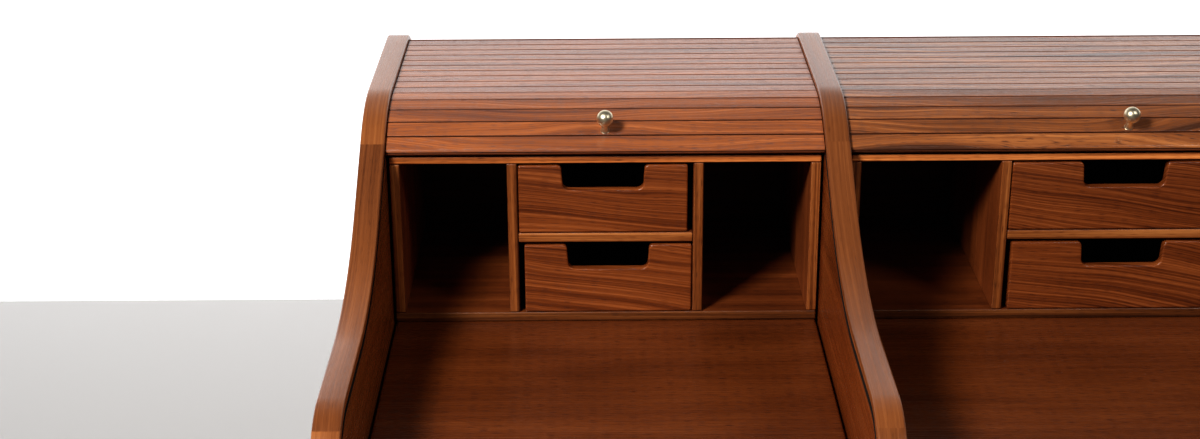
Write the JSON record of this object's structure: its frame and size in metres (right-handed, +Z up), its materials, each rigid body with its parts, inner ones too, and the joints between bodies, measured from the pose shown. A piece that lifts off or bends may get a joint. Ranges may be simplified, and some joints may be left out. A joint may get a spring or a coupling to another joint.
{
  "type": "tambour desk",
  "caption": "Legged writing desk with S-curved side panels, sliding slatted curtains over pigeonhole inserts, and small drawers with finger cut-outs.",
  "frame": {"origin": "on the floor, under the middle of the desk's outer box", "axes": "+Z up, +X to the sitter's right along the desk's width, +Y away from the sitter"},
  "size_m": [1.224, 0.8748, 1.0138],
  "materials": {
    "side_panel": "satin oiled walnut, grain along the edge",
    "curtain": "satin walnut slats, grain along each slat",
    "writing_surface": "satin walnut, grain from side to side",
    "insert_board": "satin walnut boards",
    "drawer_front": "satin walnut, streaked grain from side to side",
    "drawer_box": "plain lighter wood",
    "back_board": "thin walnut-faced board",
    "carcass": "satin walnut",
    "brass": "polished, slightly aged",
    "glide": "matt"
  },
  "bodies": {
    "case": {"left_side_panel": "side_panel", "middle_side_panel": "side_panel", "right_side_panel": "side_panel", "glides": "glide", "left_writing_surface": "writing_surface", "left_apron": "carcass", "left_cleats": "carcass", "left_pocket_liner": "back_board", "left_pocket_floor": "carcass", "left_back": "back_board", "left_insert_top": "insert_board", "left_insert_bottom": "insert_board", "left_insert_left_wall": "insert_board", "left_insert_right_wall": "insert_board", "left_insert_left_divider": "insert_board", "left_insert_right_divider": "insert_board", "left_insert_shelf": "insert_board", "left_insert_back": "back_board", "right_writing_surface": "writing_surface", "right_apron": "carcass", "right_cleats": "carcass", "right_pocket_liner": "back_board", "right_pocket_floor": "carcass", "right_back": "back_board", "right_insert_top": "insert_board", "right_insert_bottom": "insert_board", "right_insert_left_wall": "insert_board", "right_insert_right_wall": "insert_board", "right_insert_left_divider": "insert_board", "right_insert_right_divider": "insert_board", "right_insert_shelf": "insert_board", "right_insert_back": "back_board"},
    "left_curtain_lead": {"left_lead_rail": "curtain"},
    "left_curtain_pull_slat": {"left_pull_slat": "curtain", "left_knob": "brass"},
    "left_curtain_shoulder_slats": {"left_shoulder_slats": "curtain"},
    "left_curtain_crest_slat": {"left_crest_slat": "curtain"},
    "left_curtain_top_slats": {"left_top_slats": "curtain"},
    "left_curtain_corner_slat_upper": {"left_corner_slat_upper": "curtain"},
    "left_curtain_corner_slats": {"left_corner_slats": "curtain"},
    "left_curtain_corner_slat_lower": {"left_corner_slat_lower": "curtain"},
    "left_curtain_stored_slats": {"left_stored_slats": "curtain"},
    "right_curtain_lead": {"right_lead_rail": "curtain"},
    "right_curtain_pull_slat": {"right_pull_slat": "curtain", "right_knob": "brass"},
    "right_curtain_shoulder_slats": {"right_shoulder_slats": "curtain"},
    "right_curtain_crest_slat": {"right_crest_slat": "curtain"},
    "right_curtain_top_slats": {"right_top_slats": "curtain"},
    "right_curtain_corner_slat_upper": {"right_corner_slat_upper": "curtain"},
    "right_curtain_corner_slats": {"right_corner_slats": "curtain"},
    "right_curtain_corner_slat_lower": {"right_corner_slat_lower": "curtain"},
    "right_curtain_stored_slats": {"right_stored_slats": "curtain"},
    "left_upper_drawer": {"left_upper_drawer_front": "drawer_front", "left_upper_drawer_box": "drawer_box"},
    "left_lower_drawer": {"left_lower_drawer_front": "drawer_front", "left_lower_drawer_box": "drawer_box"},
    "right_upper_drawer": {"right_upper_drawer_front": "drawer_front", "right_upper_drawer_box": "drawer_box"},
    "right_lower_drawer": {"right_lower_drawer_front": "drawer_front", "right_lower_drawer_box": "drawer_box"}
  },
  "joints": [
    {"name": "left_curtain_slide", "type": "slide", "parent": "case", "child": "left_curtain_lead", "axis": [0, -0.8443, -0.5358], "range_m": [0, 0.033]},
    {"name": "left_curtain_pull_slat_joint", "type": "hinge", "parent": "case", "child": "left_curtain_pull_slat", "pos_m": [-0.334, 0.31028, 0.59513], "axis": [1, 0, 0], "range_deg": [0, 4.23]},
    {"name": "left_curtain_shoulder_slats_joint", "type": "hinge", "parent": "case", "child": "left_curtain_shoulder_slats", "pos_m": [-0.334, 0.16488, 0.84721], "axis": [1, 0, 0], "range_deg": [0, 12.15]},
    {"name": "left_curtain_crest_slat_joint", "type": "hinge", "parent": "case", "child": "left_curtain_crest_slat", "pos_m": [-0.334, 0.17147, 0.76416], "axis": [1, 0, 0], "range_deg": [0, 7.92]},
    {"name": "left_curtain_top_slats_joint", "type": "slide", "parent": "case", "child": "left_curtain_top_slats", "axis": [0, -1, 0], "range_m": [0, 0.033]},
    {"name": "left_curtain_corner_slat_upper_joint", "type": "hinge", "parent": "case", "child": "left_curtain_corner_slat_upper", "pos_m": [-0.334, 0.37258, 0.88296], "axis": [1, 0, 0], "range_deg": [0, 15.68]},
    {"name": "left_curtain_corner_slats_joint", "type": "hinge", "parent": "case", "child": "left_curtain_corner_slats", "pos_m": [-0.334, 0.38488, 0.96081], "axis": [1, 0, 0], "range_deg": [0, 45]},
    {"name": "left_curtain_corner_slat_lower_joint", "type": "hinge", "parent": "case", "child": "left_curtain_corner_slat_lower", "pos_m": [-0.334, 0.36311, 0.95424], "axis": [1, 0, 0], "range_deg": [0, 29.32]},
    {"name": "left_curtain_stored_slats_joint", "type": "slide", "parent": "case", "child": "left_curtain_stored_slats", "axis": [0, 0, 1], "range_m": [0, 0.033]},
    {"name": "right_curtain_slide", "type": "slide", "parent": "case", "child": "right_curtain_lead", "axis": [0, -0.8443, -0.5358], "range_m": [0, 0.033]},
    {"name": "right_curtain_pull_slat_joint", "type": "hinge", "parent": "case", "child": "right_curtain_pull_slat", "pos_m": [0.264, 0.31028, 0.59513], "axis": [1, 0, 0], "range_deg": [0, 4.23]},
    {"name": "right_curtain_shoulder_slats_joint", "type": "hinge", "parent": "case", "child": "right_curtain_shoulder_slats", "pos_m": [0.264, 0.16488, 0.84721], "axis": [1, 0, 0], "range_deg": [0, 12.15]},
    {"name": "right_curtain_crest_slat_joint", "type": "hinge", "parent": "case", "child": "right_curtain_crest_slat", "pos_m": [0.264, 0.17147, 0.76416], "axis": [1, 0, 0], "range_deg": [0, 7.92]},
    {"name": "right_curtain_top_slats_joint", "type": "slide", "parent": "case", "child": "right_curtain_top_slats", "axis": [0, -1, 0], "range_m": [0, 0.033]},
    {"name": "right_curtain_corner_slat_upper_joint", "type": "hinge", "parent": "case", "child": "right_curtain_corner_slat_upper", "pos_m": [0.264, 0.37258, 0.88296], "axis": [1, 0, 0], "range_deg": [0, 15.68]},
    {"name": "right_curtain_corner_slats_joint", "type": "hinge", "parent": "case", "child": "right_curtain_corner_slats", "pos_m": [0.264, 0.38488, 0.96081], "axis": [1, 0, 0], "range_deg": [0, 45]},
    {"name": "right_curtain_corner_slat_lower_joint", "type": "hinge", "parent": "case", "child": "right_curtain_corner_slat_lower", "pos_m": [0.264, 0.36311, 0.95424], "axis": [1, 0, 0], "range_deg": [0, 29.32]},
    {"name": "right_curtain_stored_slats_joint", "type": "slide", "parent": "case", "child": "right_curtain_stored_slats", "axis": [0, 0, 1], "range_m": [0, 0.033]},
    {"name": "left_upper_drawer_slide", "type": "slide", "parent": "case", "child": "left_upper_drawer", "axis": [0, -1, 0], "range_m": [0, 0.22]},
    {"name": "left_lower_drawer_slide", "type": "slide", "parent": "case", "child": "left_lower_drawer", "axis": [0, -1, 0], "range_m": [0, 0.22]},
    {"name": "right_upper_drawer_slide", "type": "slide", "parent": "case", "child": "right_upper_drawer", "axis": [0, -1, 0], "range_m": [0, 0.22]},
    {"name": "right_lower_drawer_slide", "type": "slide", "parent": "case", "child": "right_lower_drawer", "axis": [0, -1, 0], "range_m": [0, 0.22]}
  ],
  "couplings": [
    {"joint": "left_curtain_pull_slat_joint", "follows": "left_curtain_slide", "rad_per_m": 2.2394},
    {"joint": "left_curtain_shoulder_slats_joint", "follows": "left_curtain_slide", "rad_per_m": 6.426},
    {"joint": "left_curtain_crest_slat_joint", "follows": "left_curtain_slide", "rad_per_m": 4.1866},
    {"joint": "left_curtain_top_slats_joint", "follows": "left_curtain_slide", "ratio": 1},
    {"joint": "left_curtain_corner_slat_upper_joint", "follows": "left_curtain_slide", "rad_per_m": 8.2939},
    {"joint": "left_curtain_corner_slats_joint", "follows": "left_curtain_slide", "rad_per_m": 23.8},
    {"joint": "left_curtain_corner_slat_lower_joint", "follows": "left_curtain_slide", "rad_per_m": 15.506},
    {"joint": "left_curtain_stored_slats_joint", "follows": "left_curtain_slide", "ratio": 1},
    {"joint": "right_curtain_pull_slat_joint", "follows": "right_curtain_slide", "rad_per_m": 2.2394},
    {"joint": "right_curtain_shoulder_slats_joint", "follows": "right_curtain_slide", "rad_per_m": 6.426},
    {"joint": "right_curtain_crest_slat_joint", "follows": "right_curtain_slide", "rad_per_m": 4.1866},
    {"joint": "right_curtain_top_slats_joint", "follows": "right_curtain_slide", "ratio": 1},
    {"joint": "right_curtain_corner_slat_upper_joint", "follows": "right_curtain_slide", "rad_per_m": 8.2939},
    {"joint": "right_curtain_corner_slats_joint", "follows": "right_curtain_slide", "rad_per_m": 23.8},
    {"joint": "right_curtain_corner_slat_lower_joint", "follows": "right_curtain_slide", "rad_per_m": 15.506},
    {"joint": "right_curtain_stored_slats_joint", "follows": "right_curtain_slide", "ratio": 1}
  ]
}
